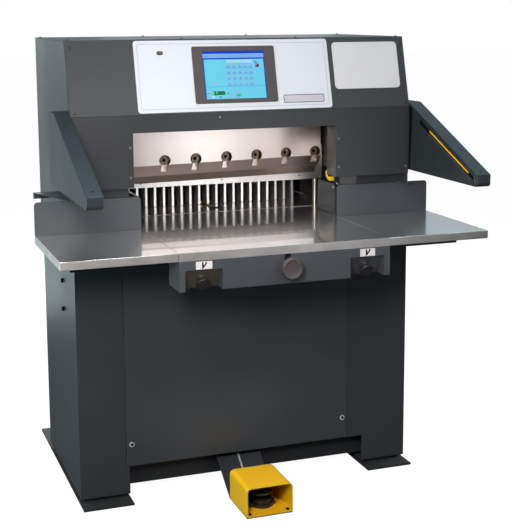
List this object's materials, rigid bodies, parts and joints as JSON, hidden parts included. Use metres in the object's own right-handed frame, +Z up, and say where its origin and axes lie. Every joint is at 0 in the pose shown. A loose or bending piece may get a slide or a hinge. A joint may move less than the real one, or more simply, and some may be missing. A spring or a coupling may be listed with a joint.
{
  "type": "hydraulic paper cutter",
  "caption": "Free-standing hydraulic paper cutter with a swing-cut knife, clamp and driven back gauge over a wide steel table, guard wings, console and foot switch.",
  "frame": {"origin": "on the floor, under the middle of the cut line and of the box", "axes": "+X to the operator's right, -Y towards the operator, +Z up"},
  "size_m": [1.4, 1.56, 1.5225],
  "materials": {
    "charcoal_paint": "semi-gloss fine-textured powder coat",
    "black_paint": "satin black paint",
    "table_steel": "ground and polished",
    "machined_steel": "machined",
    "bolt_steel": "plain steel fasteners",
    "yellow_paint": "gloss safety yellow",
    "stick_plastic": "matt",
    "white_panel": "smooth satin",
    "grey_plastic": "satin",
    "display": "lit glossy screen",
    "black_plastic": "satin",
    "tank_paint": "gloss paint",
    "box_paint": "textured paint",
    "knob_aluminium": "turned",
    "cable_grey": "matt sheath"
  },
  "bodies": {
    "base": {"stands": "charcoal_paint", "feet": "black_paint", "crossmembers": "black_paint", "base_tray": "black_paint", "rear_panel": "charcoal_paint", "side_frames": "black_paint", "top_beam": "black_paint", "centre_table": "table_steel", "left_table_wing": "table_steel", "right_table_wing": "table_steel", "table_support_bar": "black_paint", "fences": "charcoal_paint", "side_guides": "charcoal_paint", "cutting_stick": "stick_plastic", "front_hood": "charcoal_paint", "lower_front_cover": "charcoal_paint", "window_jambs": "machined_steel", "top_cover": "charcoal_paint", "head_sides": "charcoal_paint", "rear_head_panel": "charcoal_paint", "fascia": "white_panel", "screen_bezel": "grey_plastic", "screen": "display", "blank_plates": "white_panel", "left_guard_wing": "charcoal_paint", "right_guard_wing": "charcoal_paint", "light_curtains": "yellow_paint", "side_shelves": "charcoal_paint", "throat_bracket": "yellow_paint", "knife_cylinder": "black_paint", "clamp_cylinder": "black_paint", "gauge_motor": "black_paint", "hydraulic_tank": "tank_paint", "pump_motor": "tank_paint", "control_box": "box_paint", "console": "charcoal_paint", "pedal_bracket": "black_paint", "pedal_guard": "yellow_paint", "pedal_switch": "black_plastic", "pedal_cable": "cable_grey", "cover_screws": "bolt_steel", "power_inlet": "black_plastic"},
    "knife_ram": {"knife_ram": "machined_steel"},
    "knife": {"knife_carrier": "machined_steel", "knife_blade": "machined_steel", "knife_bolts": "bolt_steel"},
    "clamp": {"clamp_beam": "machined_steel", "clamp_pull_frame": "machined_steel"},
    "gauge": {"gauge_fingers": "machined_steel", "gauge_carriage": "black_paint"},
    "lead_screw": {"lead_screw": "machined_steel"},
    "gauge_knob": {"gauge_knob": "knob_aluminium"},
    "left_cut_button": {"left_cut_button": "black_plastic"},
    "right_cut_button": {"right_cut_button": "black_plastic"},
    "pedal": {"pedal": "black_plastic"},
    "power_key": {"power_key": "black_plastic"},
    "access_panel": {"access_panel": "charcoal_paint"},
    "left_panel_lock": {"left_panel_lock": "bolt_steel"},
    "right_panel_lock": {"right_panel_lock": "bolt_steel"},
    "rear_table_guard": {"rear_table_guard": "charcoal_paint"}
  },
  "joints": [
    {"name": "knife_draw", "type": "slide", "parent": "base", "child": "knife_ram", "axis": [0.3172, 0, -0.9484], "range_m": [0, 0.12611]},
    {"name": "knife_level", "type": "hinge", "parent": "knife_ram", "child": "knife", "pos_m": [-0.015, -0.0325, 1.23], "axis": [0, 1, 0], "range_deg": [0, 0.9]},
    {"name": "clamp_stroke", "type": "slide", "parent": "base", "child": "clamp", "axis": [0, 0, -1], "range_m": [0, 0.098]},
    {"name": "gauge_travel", "type": "slide", "parent": "base", "child": "gauge", "axis": [0, 1, 0], "range_m": [-0.155, 0.501]},
    {"name": "screw_turn", "type": "hinge", "parent": "base", "child": "lead_screw", "pos_m": [0, 0.3, 0.838], "axis": [0, 1, 0], "continuous": true},
    {"name": "knob_turn", "type": "hinge", "parent": "base", "child": "gauge_knob", "pos_m": [0, -0.7, 0.834], "axis": [0, 1, 0], "continuous": true},
    {"name": "left_button_press", "type": "slide", "parent": "base", "child": "left_cut_button", "axis": [0, 0.818, 0.5752], "range_m": [0, 0.005], "stiffness_N_per_m": 600, "springref_m": -0.004},
    {"name": "right_button_press", "type": "slide", "parent": "base", "child": "right_cut_button", "axis": [0, 0.818, 0.5752], "range_m": [0, 0.005], "stiffness_N_per_m": 600, "springref_m": -0.004},
    {"name": "pedal_press", "type": "hinge", "parent": "base", "child": "pedal", "pos_m": [-0.033, -0.447, 0.052], "axis": [1, 0, 0], "range_deg": [0, 8], "stiffness_Nm_per_rad": 4, "springref_deg": -11.46},
    {"name": "key_turn", "type": "hinge", "parent": "base", "child": "power_key", "pos_m": [-0.284, -0.26382, 1.47534], "axis": [0, -0.9667, 0.2559], "range_deg": [0, 90]},
    {"name": "panel_swing", "type": "hinge", "parent": "base", "child": "access_panel", "pos_m": [0, -0.298, 0.846], "axis": [-1, 0, 0], "range_deg": [0, 25]},
    {"name": "left_lock_turn", "type": "hinge", "parent": "access_panel", "child": "left_panel_lock", "pos_m": [-0.415, -0.305, 0.189], "axis": [0, -1, 0], "range_deg": [0, 90]},
    {"name": "right_lock_turn", "type": "hinge", "parent": "access_panel", "child": "right_panel_lock", "pos_m": [0.346, -0.305, 0.189], "axis": [0, 1, 0], "range_deg": [0, 90]},
    {"name": "guard_lift", "type": "hinge", "parent": "base", "child": "rear_table_guard", "pos_m": [0, 0.305, 1.024], "axis": [1, 0, 0], "range_deg": [0, 80]}
  ],
  "couplings": [
    {"joint": "knife_level", "follows": "knife_draw", "rad_per_m": 0.12456},
    {"joint": "screw_turn", "follows": "gauge_travel", "rad_per_m": 314.16}
  ]
}
